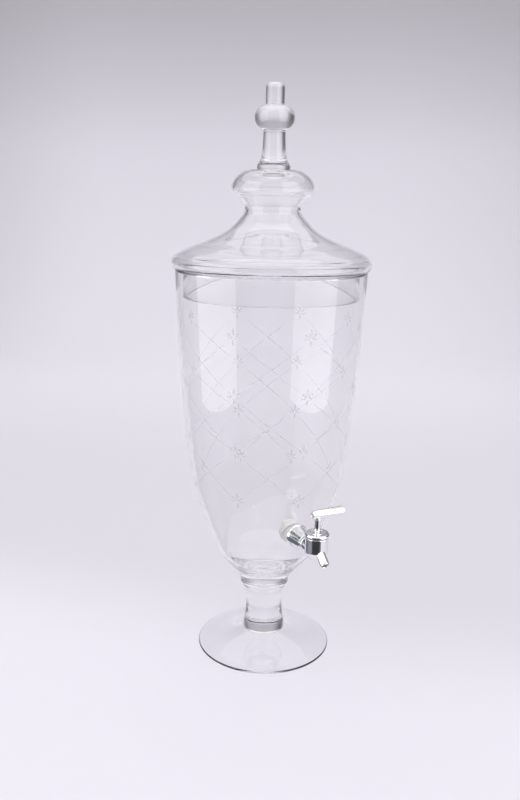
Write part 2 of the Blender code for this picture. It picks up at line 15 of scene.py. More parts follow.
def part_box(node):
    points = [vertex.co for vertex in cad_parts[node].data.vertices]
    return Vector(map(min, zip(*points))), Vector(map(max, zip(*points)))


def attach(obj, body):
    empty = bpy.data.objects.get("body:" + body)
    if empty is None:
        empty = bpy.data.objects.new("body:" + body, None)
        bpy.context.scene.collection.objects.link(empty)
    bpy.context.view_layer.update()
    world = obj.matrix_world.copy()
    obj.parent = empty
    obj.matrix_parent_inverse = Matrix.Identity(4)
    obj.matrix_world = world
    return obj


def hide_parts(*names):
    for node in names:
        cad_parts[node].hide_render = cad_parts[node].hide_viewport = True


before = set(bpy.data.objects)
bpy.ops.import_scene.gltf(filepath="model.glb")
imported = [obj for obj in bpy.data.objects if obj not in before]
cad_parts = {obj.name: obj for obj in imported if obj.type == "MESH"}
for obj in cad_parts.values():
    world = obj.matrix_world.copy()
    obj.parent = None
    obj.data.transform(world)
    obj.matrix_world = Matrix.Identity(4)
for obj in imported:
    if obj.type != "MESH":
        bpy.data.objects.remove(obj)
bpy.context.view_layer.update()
MM = 0.001


class Span:
    """The radius and heights of an upright round node, from its box."""

    def __init__(self, node):
        low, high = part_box(node)
        self.low, self.high = low.z, high.z
        self.height = high.z - low.z
        self.radius = (high.x - low.x) / 2


FOOT = Span("glass_foot")
STEM = Span("glass_stem")
COLLAR = Span("glass_collar")
BOWL = Span("glass_bowl")
SHELL = Span("lid_shell")
KNOB = Span("lid_knob")
FINIAL = Span("lid_finial")
BONNET = Span("tap_bonnet")
STEM_ROD = Span("valve_stem")

# Glass sizes that the boxes don't give
FOOT_WALL = 3.4 * MM
BOWL_WALL = 3.6 * MM
BOWL_FLOOR = 16.0 * MM
LID_WALL = 3.6 * MM
NECK_RADIUS = 30.0 * MM
SKIRT_GAP = 4.5 * MM
SKIRT_WALL = 3.0 * MM
STEM_WAIST = 21.3 * MM
STEM_TOP = 23.6 * MM
ROD_RADIUS = 11.8 * MM
ROD_BASE_RADIUS = 17.8 * MM
ROD_HEIGHT = 40.5 * MM
TIP_RADIUS = 10.0 * MM
BALL_HALF_HEIGHT = 13.6 * MM
TENON_RADIUS = 12.2 * MM
TENON_LENGTH = 9.0 * MM

# The tap's place, from its nodes
bell_low, bell_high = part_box("tap_bell")
body_low, body_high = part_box("tap_body")
bonnet_low, bonnet_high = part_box("tap_bonnet")
TAP_HEIGHT = (bell_low.z + bell_high.z) / 2
TAP_AXIS = -(bonnet_low.y + bonnet_high.y) / 2
SHANK_RADIUS = 7.0 * MM
SHANK_BORE = 4.0 * MM
SEAM = 0.3 * MM


# Outlines: (radius, height) points, running down the outer side -------------------------------------
def flowing(points, per_span=10):
    """A smooth outline through the points, as a Catmull-Rom curve."""
    points = [np.array(point, float) for point in points]
    ends = [2 * points[0] - points[1], *points, 2 * points[-1] - points[-2]]
    outline = []
    for before, start, stop, after in zip(ends, ends[1:], ends[2:], ends[3:]):
        for step in range(per_span):
            t = step / per_span
            outline.append(
                0.5
                * (
                    2 * start
                    + (stop - before) * t
                    + (2 * before - 5 * start + 4 * stop - after) * t**2
                    + (3 * start - before - 3 * stop + after) * t**3
                )
            )
    outline.append(points[-1])
    return [tuple(point) for point in outline]


def arc(centre, radii, start, stop, steps):
    """Points on an ellipse, from one angle to another in degrees; 0 is outward and 90 is up."""
    angles = np.radians(np.linspace(start, stop, steps + 1))
    return [(centre[0] + radii[0] * math.cos(a), centre[1] + radii[1] * math.sin(a)) for a in angles]


def shifted(outline, distance):
    """The outline moved along its normals, outward where the distance is positive."""
    points = np.array(outline)
    along = np.gradient(points, axis=0)
    along /= np.linalg.norm(along, axis=1)[:, None]
    return [tuple(p) for p in points + distance * np.column_stack([-along[:, 1], along[:, 0]])]


def eased(corners, steps=4):
    """An outline from (radius, height, ease) corners, each eased by a small round."""
    count = len(corners)
    outline = []
    for i, (x, z, ease) in enumerate(corners):
        here = Vector((x, z))
        if not ease:
            outline.append((x, z))
            continue
        before = Vector(corners[(i - 1) % count][:2]) - here
        after = Vector(corners[(i + 1) % count][:2]) - here
        reach = min(ease, 0.45 * before.length, 0.45 * after.length)
        start, stop = here + before.normalized() * reach, here + after.normalized() * reach
        for step in range(steps + 1):
            t = step / steps
            point = start * (1 - t) ** 2 + here * 2 * t * (1 - t) + stop * t**2
            outline.append((point.x, point.y))
    return outline


def placed(fractions, radius, low, high):
    return [(r * radius, low + z * (high - low)) for r, z in fractions]


def radius_at(outline, height):
    radii, heights = np.array(outline).T
    order = np.argsort(heights)
    return float(np.interp(height, heights[order], radii[order]))


def bowl_outside():
    shape = [
        (1.0, 1.0),
        (0.961, 0.771),
        (0.901, 0.530),
        (0.811, 0.335),
        (0.712, 0.237),
        (0.598, 0.148),
        (0.527, 0.102),
        (0.427, 0.066),
        (0.325, 0.030),
    ]
    base = (COLLAR.radius - 0.8 * MM, BOWL.low)
    return flowing([*placed(shape, BOWL.radius, BOWL.low, BOWL.high), base])


def bowl_inside():
    floor = BOWL.low + BOWL_FLOOR
    wall = [point for point in shifted(bowl_outside(), -BOWL_WALL) if point[1] > floor + 0.7 * BOWL_FLOOR]
    wall[0] = (wall[0][0], BOWL.high)
    radius, height = wall[-1]
    low = height - floor
    ends = [wall[-1], (0.80 * radius, floor + 0.50 * low), (0.50 * radius, floor + 0.15 * low), (0, floor)]
    return [*wall[:-1], *flowing(ends, 8)]


OUTSIDE = bowl_outside()
INSIDE = bowl_inside()


# Meshes ---------------------------------------------------------------------------------------------
UP = (0, 0, 0)
ALONG_TAP = (math.radians(90), 0, 0)  # turns +Z to -Y
ALONG_BAR = (0, math.radians(90), 0)  # turns +Z to +X


def settle(obj, crease=32):
    """Applies the modifiers and the placing, shades smooth and keeps edges sharper than the crease."""
    bpy.context.view_layer.update()
    graph = bpy.context.evaluated_depsgraph_get()
    mesh = bpy.data.meshes.new_from_object(obj.evaluated_get(graph))
    mesh.transform(obj.matrix_world)
    obj.modifiers.clear()
    obj.data = mesh
    obj.matrix_world = Matrix.Identity(4)
    mesh.shade_smooth()
    mesh.set_sharp_from_angle(angle=math.radians(crease))
    return obj


def turned(name, outline, facets=96, closed=False, at=(0, 0, 0), lying=UP, crease=32):
    """A turned piece. A closed outline makes a ring."""
    count = len(outline)
    edges = [(i, i + 1) for i in range(count - 1)] + ([(count - 1, 0)] if closed else [])
    mesh = bpy.data.meshes.new(name)
    mesh.from_pydata([(max(r, 0), 0, z) for r, z in outline], edges, [])
    obj = bpy.data.objects.new(name, mesh)
    bpy.context.scene.collection.objects.link(obj)
    screw = obj.modifiers.new("turn", "SCREW")
    screw.steps = screw.render_steps = facets
    screw.use_merge_vertices = True
    screw.merge_threshold = 1e-6
    obj.location = at
    obj.rotation_euler = lying
    return settle(obj, crease)


def plain_rod(radius, low, high, **options):
    return turned("cutter", [(0, high), (radius, high), (radius, low), (0, low)], **options)


def combine(obj, operation, *others, crease=32):
    """Cuts or joins, and removes the other objects."""
    for other in others:
        boolean = obj.modifiers.new("combine", "BOOLEAN")
        boolean.operation = operation
        boolean.object = other
        settle(obj, crease)
        bpy.data.objects.remove(other)
    return obj


def dress(obj, look, slot, body, *replaced):
    """Gives a piece its material and body, and hides the nodes it stands for; the slot is not used."""
    obj.data.materials.clear()
    obj.data.materials.append(look)
    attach(obj, body)
    if replaced:
        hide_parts(*replaced)
    return obj


# Shader groups --------------------------------------------------------------------------------------
def new_group(name, inputs, outputs):
    """An empty shader group with float or vector sockets, and its two end nodes."""
    group = bpy.data.node_groups.new(name, "ShaderNodeTree")
    for title, value in inputs.items():
        socket = group.interface.new_socket(title, in_out="INPUT", socket_type="NodeSocketFloat")
        socket.default_value = value
    for title, kind in outputs.items():
        group.interface.new_socket(title, in_out="OUTPUT", socket_type=kind)
    start = group.nodes.new("NodeGroupInput")
    end = group.nodes.new("NodeGroupOutput")
    return group, start, end


def node(tree, kind, **settings):
    made = tree.nodes.new(kind)
    for key, value in settings.items():
        setattr(made, key, value)
    return made


def wear_group():
    """Fine wiping marks and small smudges: a roughness, and a height for a bump."""
    group, start, end = new_group(
        "wiping_marks",
        {"Roughness": 0.05, "Spread": 0.05, "Smudge Size": 40.0, "Mark Size": 900.0},
        {"Roughness": "NodeSocketFloat", "Height": "NodeSocketFloat"},
    )
    place = node(group, "ShaderNodeTexCoord")
    smudge = node(group, "ShaderNodeTexNoise")
    marks = node(group, "ShaderNodeTexNoise")
    stretch = node(group, "ShaderNodeMapping")
    stretch.inputs["Scale"].default_value = (1, 1, 0.12)
    level = node(group, "ShaderNodeMapRange")
    level.inputs["From Min"].default_value = 0.35
    level.inputs["From Max"].default_value = 0.75
    scaled = node(group, "ShaderNodeMath", operation="MULTIPLY_ADD")
    link = group.links.new
    link(place.outputs["Object"], smudge.inputs["Vector"])
    link(place.outputs["Object"], stretch.inputs["Vector"])
    link(stretch.outputs["Vector"], marks.inputs["Vector"])
    link(start.outputs["Smudge Size"], smudge.inputs["Scale"])
    link(start.outputs["Mark Size"], marks.inputs["Scale"])
    smudge.inputs["Detail"].default_value = 4
    marks.inputs["Detail"].default_value = 2
    link(smudge.outputs["Fac"], level.inputs["Value"])
    link(level.outputs["Result"], scaled.inputs[0])
    link(start.outputs["Spread"], scaled.inputs[1])
    link(start.outputs["Roughness"], scaled.inputs[2])
    link(scaled.outputs["Value"], end.inputs["Roughness"])
    link(marks.outputs["Fac"], end.inputs["Height"])
    return group


def tone_group():
    """Slow colour variation over a surface."""
    group, start, end = new_group(
        "slow_tone",
        {"Scale": 30.0, "Low": 0.9, "High": 1.05},
        {"Tone": "NodeSocketFloat"},
    )
    place = node(group, "ShaderNodeTexCoord")
    cloud = node(group, "ShaderNodeTexNoise")
    cloud.inputs["Detail"].default_value = 5
    level = node(group, "ShaderNodeMapRange")
    link = group.links.new
    link(place.outputs["Object"], cloud.inputs["Vector"])
    link(start.outputs["Scale"], cloud.inputs["Scale"])
    link(cloud.outputs["Fac"], level.inputs["Value"])
    link(start.outputs["Low"], level.inputs["To Min"])
    link(start.outputs["High"], level.inputs["To Max"])
    link(level.outputs["Result"], end.inputs["Tone"])
    return group


WEAR = wear_group()
TONE = tone_group()


def finish_material(
    name, color, metallic, rough, spread, bump, smudge=40.0, marks=900.0, tone=(0.95, 1.03)
):
    """A Principled material with wiping marks on it and a slow change of tone."""
    made = bpy.data.materials.new(name)
    made.use_nodes = True
    tree = made.node_tree
    shader = tree.nodes["Principled BSDF"]
    link = tree.links.new
    shader.inputs["Metallic"].default_value = metallic
    wear = node(tree, "ShaderNodeGroup", node_tree=WEAR)
    wear.inputs["Roughness"].default_value = rough
    wear.inputs["Spread"].default_value = spread
    wear.inputs["Smudge Size"].default_value = smudge
    wear.inputs["Mark Size"].default_value = marks
    link(wear.outputs["Roughness"], shader.inputs["Roughness"])
    relief = node(tree, "ShaderNodeBump")
    relief.inputs["Strength"].default_value = bump
    relief.inputs["Distance"].default_value = 0.02 * MM
    link(wear.outputs["Height"], relief.inputs["Height"])
    link(relief.outputs["Normal"], shader.inputs["Normal"])
    shade = node(tree, "ShaderNodeGroup", node_tree=TONE)
    shade.inputs["Low"].default_value, shade.inputs["High"].default_value = tone
    mixed = node(tree, "ShaderNodeMix", data_type="RGBA", blend_type="MULTIPLY")
    mixed.inputs["Factor"].default_value = 1
    mixed.inputs["A"].default_value = (*color, 1)
    link(shade.outputs["Tone"], mixed.inputs["B"])
    link(mixed.outputs["Result"], shader.inputs["Base Color"])
    return made, shader


def let_light_through(made, shader, tint):
    """Lets lamp light and floor light pass straight through, so that it throws no black shadow."""
    tree = made.node_tree
    path = node(tree, "ShaderNodeLightPath")
    either = node(tree, "ShaderNodeMath", operation="MAXIMUM")
    clear = node(tree, "ShaderNodeBsdfTransparent")
    clear.inputs["Color"].default_value = tint
    mixed = node(tree, "ShaderNodeMixShader")
    link = tree.links.new
    link(path.outputs["Is Shadow Ray"], either.inputs[0])
    link(path.outputs["Is Diffuse Ray"], either.inputs[1])
    link(either.outputs["Value"], mixed.inputs["Fac"])
    link(shader.outputs["BSDF"], mixed.inputs[1])
    link(clear.outputs["BSDF"], mixed.inputs[2])
    link(mixed.outputs["Shader"], tree.nodes["Material Output"].inputs["Surface"])


def clear_glass():
    """Clean blown glass: a nearly smooth surface, with a faint ripple."""
    made = bpy.data.materials.new("clear_glass")
    made.use_nodes = True
    tree = made.node_tree
    shader = tree.nodes["Principled BSDF"]
    link = tree.links.new
    shader.inputs["Base Color"].default_value = (0.998, 0.997, 1.0, 1)
    shader.inputs["Transmission Weight"].default_value = 1
    shader.inputs["IOR"].default_value = 1.5
    shader.inputs["Roughness"].default_value = 0.0
    place = node(tree, "ShaderNodeTexCoord")
    ripple = node(tree, "ShaderNodeTexNoise")
    ripple.inputs["Scale"].default_value = 28
    ripple.inputs["Detail"].default_value = 1
    relief = node(tree, "ShaderNodeBump")
    relief.inputs["Strength"].default_value = 0.5
    relief.inputs["Distance"].default_value = 0.04 * MM
    link(place.outputs["Object"], ripple.inputs["Vector"])
    link(ripple.outputs["Fac"], relief.inputs["Height"])
    link(relief.outputs["Normal"], shader.inputs["Normal"])
    let_light_through(made, shader, (0.975, 0.975, 0.98, 1))
    return made


def ground_glass():
    """The matt white surface left where the wheel cut the glass."""
    made, shader = finish_material("ground_glass", (0.99, 0.99, 1.0), 0, 0.5, 0.2, 0.6, 300, 2500)
    shader.inputs["Alpha"].default_value = 0.24
    return made


CLEAR_GLASS = clear_glass()
GROUND_GLASS = ground_glass()
CHROME = finish_material("chrome", (0.88, 0.88, 0.90), 1, 0.035, 0.05, 0.10, 120, 1500, (0.97, 1.02))[0]
STEEL = finish_material("stainless_steel", (0.62, 0.61, 0.60), 1, 0.22, 0.12, 0.4, 90, 2200)[0]
BRASS = finish_material("plug_brass", (0.74, 0.58, 0.32), 1, 0.24, 0.12, 0.4, 90, 1800)[0]
RUBBER = finish_material("ring_rubber", (0.03, 0.03, 0.03), 0, 0.55, 0.15, 0.5, 200, 1500)[0]
PACKING = finish_material("packing_plastic", (0.88, 0.88, 0.86), 0, 0.35, 0.1, 0.2, 200, 900)[0]
SILICONE, silicone_shader = finish_material(
    "clear_silicone", (0.93, 0.92, 0.90), 0, 0.35, 0.15, 0.3, 150, 1200
)
silicone_shader.inputs["Transmission Weight"].default_value = 0.2
silicone_shader.inputs["IOR"].default_value = 1.41
let_light_through(SILICONE, silicone_shader, (0.8, 0.8, 0.79, 1))


# The vessel -----------------------------------------------------------------------------------------
def collar_side():
    """Two rounded rings under the bowl."""
    middle = (COLLAR.low + COLLAR.high) / 2
    half = COLLAR.height / 4
    upper = arc((COLLAR.radius - 2.6 * MM, middle + half), (2.6 * MM, half), 78, -78, 14)
    lower = arc((STEM_TOP - 0.6 * MM, middle - half), (2.2 * MM, half), 78, -70, 14)
    return [*upper, *lower]


def stem_side():
    """A waisted stem that widens a little down to the foot."""
    return flowing(
        [
            (STEM_TOP, STEM.high),
            (STEM_WAIST + 0.4 * MM, STEM.low + 0.775 * STEM.height),
            (STEM_WAIST, STEM.low + 0.60 * STEM.height),
            (STEM_WAIST + 1.1 * MM, STEM.low + 0.36 * STEM.height),
            (STEM.radius - 0.4 * MM, STEM.low + 0.13 * STEM.height),
            (STEM.radius, STEM.low + 0.02 * STEM.height),
        ]
    )


def foot_side():
    """A shallow cone under the stem, a rounded edge, and a hollow that follows the cone underneath."""
    edge = 1.45 * MM
    top = flowing(
        [
            (STEM.radius + 0.3 * MM, FOOT.high),
            (0.37 * FOOT.radius, 0.84 * FOOT.high),
            (0.45 * FOOT.radius, 0.66 * FOOT.high),
            (0.56 * FOOT.radius, 0.48 * FOOT.high),
            (0.72 * FOOT.radius, 0.31 * FOOT.high),
            (FOOT.radius - 1.6 * MM, 2 * edge),
        ]
    )
    rim = arc((FOOT.radius - edge, edge), (edge, edge), 80, -90, 10)
    hollow = [(r, max(z, 0)) for r, z in shifted(top, -FOOT_WALL)]
    ring = flowing([hollow[-1], hollow[-5]], 2)
    crown = flowing(
        [
            hollow[1],
            (0.8 * STEM.radius, FOOT.high - 2.2 * MM),
            (0.45 * STEM.radius, FOOT.high - 1.4 * MM),
            (0, FOOT.high - 1.2 * MM),
        ],
        5,
    )
    return [*top, *rim, *ring, *reversed(hollow[2:-5]), *crown]


def vessel():
    """Foot, stem, collar and bowl as one continuous glass, drilled for the tap."""
    ease = 0.7 * MM
    rim = eased([(INSIDE[0][0], BOWL.high, ease), (OUTSIDE[0][0], BOWL.high, ease), (*OUTSIDE[2], 0)])
    side = [*OUTSIDE[3:], *collar_side(), *stem_side(), *foot_side()]
    outline = [*reversed(INSIDE[2:]), *rim[:-1], *side]
    glass = turned("vessel_glass", outline, 128, crease=34)
    hole = plain_rod(SHANK_RADIUS + 1 * MM, 0.05, 0.12, facets=64, at=(0, 0, TAP_HEIGHT), lying=ALONG_TAP)
    combine(glass, "DIFFERENCE", hole, crease=34)
    pieces = ("glass_foot", "glass_stem", "glass_collar", "glass_bowl")
    dress(glass, CLEAR_GLASS, "clear_glass", "vessel", *pieces)


# The lid --------------------------------------------------------------------------------------------
def knob_side():
    """A flattened bun over a short throat, from the finial's base down to the neck."""
    shape = [
        (0.46, 0.985),
        (0.575, 0.985),
        (0.719, 0.930),
        (0.852, 0.825),
        (0.947, 0.692),
        (0.996, 0.549),
        (0.993, 0.454),
        (0.955, 0.375),
        (0.885, 0.310),
        (0.815, 0.230),
        (0.730, 0.140),
        (0.675, 0.062),
        (0.664, 0.0),
    ]
    return flowing(placed(shape, KNOB.radius, KNOB.low, KNOB.high), 6)


def flat_sided(middle, radius, half_height, top_radius, bottom_radius, power=2.4, steps=36):
    """The outline of a ball with flatter sides than a true round, between two radii."""
    above = math.acos((top_radius / radius) ** (power / 2))
    below = math.acos((bottom_radius / radius) ** (power / 2))
    outline = []
    for angle in np.linspace(above, -below, steps + 1):
        rise = math.copysign(abs(math.sin(angle)) ** (2 / power), angle)
        outline.append((radius * math.cos(angle) ** (2 / power), middle + half_height * rise))
    return outline


def lid():
    """Finial, knob, neck, shoulder, rolled rim and skirt as one continuous glass."""
    foot_of_finial = KNOB.high + SEAM
    ball = foot_of_finial + ROD_HEIGHT + 0.87 * BALL_HALF_HEIGHT
    ball_ends = (TIP_RADIUS + 1 * MM, ROD_RADIUS + 0.7 * MM)
    round_ball = flat_sided(ball, FINIAL.radius, BALL_HALF_HEIGHT, *ball_ends)
    tip_low = round_ball[0][1]
    tip = arc((TIP_RADIUS - 5 * MM, FINIAL.high - 5 * MM), (5 * MM, 5 * MM), 90, 0, 10)
    tip_foot = arc((TIP_RADIUS + 1.2 * MM, tip_low + 1.0 * MM), (1.2 * MM, 1.2 * MM), 180, 250, 4)
    rod = flowing(
        [
            (ROD_RADIUS + 0.3 * MM, foot_of_finial + 0.985 * ROD_HEIGHT),
            (ROD_RADIUS, foot_of_finial + 0.88 * ROD_HEIGHT),
            (ROD_RADIUS + 0.4 * MM, foot_of_finial + 0.62 * ROD_HEIGHT),
            (ROD_RADIUS + 1.3 * MM, foot_of_finial + 0.38 * ROD_HEIGHT),
            (ROD_RADIUS + 2.9 * MM, foot_of_finial + 0.22 * ROD_HEIGHT),
            (ROD_BASE_RADIUS - 0.8 * MM, foot_of_finial + 4.8 * MM),
            (ROD_BASE_RADIUS, foot_of_finial + 3.2 * MM),
            (ROD_BASE_RADIUS, foot_of_finial + 1.0 * MM),
            (ROD_BASE_RADIUS - 0.2 * MM, foot_of_finial - 0.7 * MM),
        ]
    )
    knob = knob_side()
    neck = [(NECK_RADIUS, SHELL.high - 1.0 * MM)]
    rim_middle = BOWL.high + SEAM + 8.9 * MM
    roll = (10.0 * MM, 8.9 * MM)
    rim = arc((SHELL.radius - roll[0], rim_middle), roll, 46, -62, 24)
    run, low = rim[0][0] - NECK_RADIUS, rim[0][1]
    rise = SHELL.high - low
    shape = [(0.020, 0.88), (0.105, 0.73), (0.25, 0.52), (0.53, 0.315), (0.725, 0.21), (0.905, 0.10)]
    shoulder = flowing([*neck, *[(NECK_RADIUS + u * run, low + v * rise) for u, v in shape], rim[0]])
    skirt = INSIDE[0][0] - SKIRT_GAP
    bore = skirt - SKIRT_WALL
    seat = BOWL.high + SEAM
    under = eased(
        [
            (BOWL.radius + 0.4 * MM, seat, 0.6 * MM),
            (skirt, seat, 1.2 * MM),
            (skirt, SHELL.low + 4 * MM, 0),
        ]
    )
    hem_radius = SKIRT_WALL / 2
    hem = arc((skirt - hem_radius, SHELL.low + hem_radius), (hem_radius, hem_radius), 0, -180, 10)
    vault = shifted(shoulder, -LID_WALL)[:-2]
    roll_inside = (roll[0] - LID_WALL, roll[1] - LID_WALL)
    hollow = arc((SHELL.radius - roll[0], rim_middle), roll_inside, -66, 42, 16)
    corner = flowing(
        [
            (bore, seat - 1 * MM),
            (bore + 1.2 * MM, seat + 2.4 * MM),
            (bore + 4.2 * MM, seat + 3.7 * MM),
            hollow[0],
        ],
        6,
    )
    bulb = [point for point in shifted(knob, -3.0 * MM) if point[0] > TENON_RADIUS + 2 * MM]
    tenon = foot_of_finial - TENON_LENGTH
    blob = arc((0, tenon + 5 * MM), (TENON_RADIUS, 5 * MM), 10, -90, 14)
    outside = [(0, FINIAL.high), *tip, *tip_foot, *round_ball, *rod, *knob, *shoulder, *rim[1:], *under, *hem]
    inside = [*corner[:-1], *hollow, *reversed(vault), *reversed(bulb), *blob]
    glass = turned("lid_glass", [*outside, *inside], 128, crease=50)
    dress(glass, CLEAR_GLASS, "clear_glass", "lid", "lid_shell", "lid_knob", "lid_finial")


# The cut pattern ------------------------------------------------------------------------------------
COLUMNS = 8
FIRST_COLUMN = math.radians(-1.5)  # from the tap's side
STAR_ROWS = (0.2085, 0.266, 0.327, 0.389)
# The way each leaf of a star points in degrees, its reach and its width in millimetres
STAR_LEAVES = ((90, 11, 2.3), (270, 8, 1.8), (0, 8, 1.7), (180, 8, 1.7), (40, 9, 2.0), (140, 9, 2.0))


def on_wall(angle, height, stand_off):
    """A point on the bowl's outside; the angle is from the tap's side, towards +X."""
    radius = radius_at(OUTSIDE, height) + stand_off
    return Vector((radius * math.sin(angle), -radius * math.cos(angle), height))


def cut(bm, start, stop, width, depth=0.16 * MM, steps=10):
    """A leaf-shaped cut between two (angle, height) points on the wall, as a thin closed lens."""
    rows = []
    (angle_a, height_a), (angle_b, height_b) = start, stop
    run = (angle_b - angle_a) * radius_at(OUTSIDE, height_a)
    across_sign = Vector((height_b - height_a, -run)).normalized()
    for step in range(1, steps):
        t = step / steps
        half = 0.5 * width * math.sin(math.pi * t) ** 0.6
        angle = angle_a + (angle_b - angle_a) * t
        height = height_a + (height_b - height_a) * t
        radius = radius_at(OUTSIDE, height)
        side_angle, side_height = across_sign.x * half / radius, across_sign.y * half
        lens = 0.5 * depth * math.sin(math.pi * t) ** 0.5
        rows.append(
            [
                bm.verts.new(on_wall(angle - side_angle, height - side_height, 0)),
                bm.verts.new(on_wall(angle, height, lens)),
                bm.verts.new(on_wall(angle + side_angle, height + side_height, 0)),
                bm.verts.new(on_wall(angle, height, -lens)),
            ]
        )
    first = bm.verts.new(on_wall(angle_a, height_a, 0))
    last = bm.verts.new(on_wall(angle_b, height_b, 0))
    for i in range(4):
        j = (i + 1) % 4
        bm.faces.new((first, rows[0][j], rows[0][i]))
        bm.faces.new((last, rows[-1][i], rows[-1][j]))
        for near, far in zip(rows, rows[1:]):
            bm.faces.new((near[i], near[j], far[j], far[i]))


def star(bm, angle, height):
    """Four long leaves along the lattice and up, down and sideways, over the crossing lines."""
    radius = radius_at(OUTSIDE, height)
    for turn, reach, width in STAR_LEAVES:
        a = math.radians(turn)
        tip = (angle + math.cos(a) * reach * MM / radius, height + math.sin(a) * reach * MM)
        root = (angle + math.cos(a) * 1.2 * MM / radius, height + math.sin(a) * 1.2 * MM)
        cut(bm, root, tip, width * MM, steps=6)


def cut_pattern():
    """Columns of stars round the bowl, joined by a lattice of long tapered cuts."""
    bm = bmesh.new()
    step = 2 * math.pi / COLUMNS
    for column in range(COLUMNS):
        angle = FIRST_COLUMN + column * step
        for height in STAR_ROWS:
            star(bm, angle, height)
        for low, high in zip(STAR_ROWS, STAR_ROWS[1:]):
            for side in (-1, 1):
                inset = 0.09
                run, rise = side * step, high - low
                start = (angle + inset * run, low + inset * rise)
                stop = (angle + (1 - inset) * run, high - inset * rise)
                cut(bm, start, stop, 1.15 * MM, steps=20)
    bmesh.ops.recalc_face_normals(bm, faces=bm.faces)
    mesh = bpy.data.meshes.new("cut_pattern")
    bm.to_mesh(mesh)
    bm.free()
    obj = bpy.data.objects.new("cut_pattern", mesh)
    bpy.context.scene.collection.objects.link(obj)
    mesh.shade_smooth()
    dress(obj, GROUND_GLASS, "clear_glass", "vessel")


# The tap --------------------------------------------------------------------------------------------
def along_tap(name, corners, look, slot, *replaced, facets=96):
    """A turned ring on the shank's axis; corners are (radius, distance out from the bowl's axis, ease)."""
    ring = turned(name, eased(corners), facets, True, at=(0, 0, TAP_HEIGHT), lying=ALONG_TAP)
    return dress(ring, look, slot, "vessel", *replaced)


def clamp():
    """Wedge gaskets cut to the glass, a flat washer and a chamfered hex nut."""
    bore = SHANK_RADIUS + SEAM
    for name, kind in (("gasket_outer", "DIFFERENCE"), ("gasket_inner", "INTERSECT")):
        low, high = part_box(name)
        radius = (high.z - low.z) / 2
        near, far = -high.y, -low.y
        if kind == "DIFFERENCE":
            near -= 4 * MM
            solid = turned("cutter", [(0, 0.3), *shifted(OUTSIDE, SEAM)[20:], (0, 0.09)], 128)
        else:
            far += 4 * MM
            wall = [point for point in shifted(INSIDE, -SEAM)[:-6] if point[1] < 0.3]
            solid = turned("cutter", [(0, 0.3), *wall, (0, 0.12)], 128)
        corners = [(radius, far, 0), (radius, near, 0), (bore, near, 0), (bore, far, 0)]
        if kind == "DIFFERENCE":
            corners[0] = (radius, far, 0.5 * MM)
        else:
            corners[1] = (radius, near, 0.5 * MM)
        ring = turned(name + "_seal", eased(corners), 96, True, at=(0, 0, TAP_HEIGHT), lying=ALONG_TAP)
        combine(ring, kind, solid)
        dress(ring, SILICONE, "clear_silicone", "vessel", name)
    low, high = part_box("shank_washer")
    radius, near, far = (high.z - low.z) / 2, -high.y, -low.y
    edge, hole = 0.3 * MM, 0.1 * MM
    ring = [(radius, far, edge), (radius, near, edge), (bore, near, hole), (bore, far, hole)]
    along_tap("washer", ring, PACKING, "packing_plastic", "shank_washer")
    hex_nut(bore)


def hex_nut(bore):
    low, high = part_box("shank_nut")
    near, far = -high.y, -low.y
    corner = 10.5 * MM / math.cos(math.radians(30))
    prism = turned(
        "hex_nut",
        [(0, far), (corner, far), (corner, near), (0, near)],
        6,
        at=(0, 0, TAP_HEIGHT),
        lying=ALONG_TAP,
    )
    ease = 1.6 * MM
    dome = eased(
        [
            (0, far, 0),
            (10.6 * MM, far, 0),
            (corner + 0.3 * MM, far - ease, 0),
            (corner + 0.3 * MM, near + ease, 0),
            (10.6 * MM, near, 0),
            (0, near, 0),
        ]
    )
    combine(prism, "INTERSECT", turned("cutter", dome, 96, at=(0, 0, TAP_HEIGHT), lying=ALONG_TAP))
    hole = eased(
        [
            (0, far + MM, 0),
            (bore + 1.6 * MM, far + MM, 0),
            (bore, far - 0.8 * MM, 0),
            (bore, near + 0.8 * MM, 0),
            (bore + 1.6 * MM, near - MM, 0),
            (0, near - MM, 0),
        ]
    )
    drill = turned("cutter", hole, 64, at=(0, 0, TAP_HEIGHT), lying=ALONG_TAP)
    combine(prism, "DIFFERENCE", drill, crease=20)
    dress(prism, PACKING, "packing_plastic", "vessel", "shank_nut")


def bell():
    """The tapered cover between gasket and neck, rolled at its wide end."""
    near, far = -bell_high.y, -bell_low.y
    radius = (bell_high.z - bell_low.z) / 2
    side = flowing(
        [
            (9.4 * MM, far - 0.6 * MM),
            (9.9 * MM, far - 5.0 * MM),
            (11.3 * MM, near + 8.5 * MM),
            (radius - 0.9 * MM, near + 3.4 * MM),
            (radius - 0.5 * MM, near + 2.6 * MM),
        ],
        5,
    )
    lip = arc((radius - 1.2 * MM, near + 1.2 * MM), (1.2 * MM, 1.2 * MM), 60, -90, 8)
    bore = SHANK_RADIUS + SEAM
    front = arc((8.8 * MM, far - 0.6 * MM), (0.6 * MM, 0.6 * MM), 90, 10, 4)
    outline = [(bore, far), *front, *side, *lip]
    outline += [(11.0 * MM, near), (10.6 * MM, near + 2.5 * MM), (bore, near + 3.0 * MM)]
    ring = turned("bell_cover", outline, 96, True, at=(0, 0, TAP_HEIGHT), lying=ALONG_TAP)
    dress(ring, CHROME, "chrome", "vessel", "tap_bell")


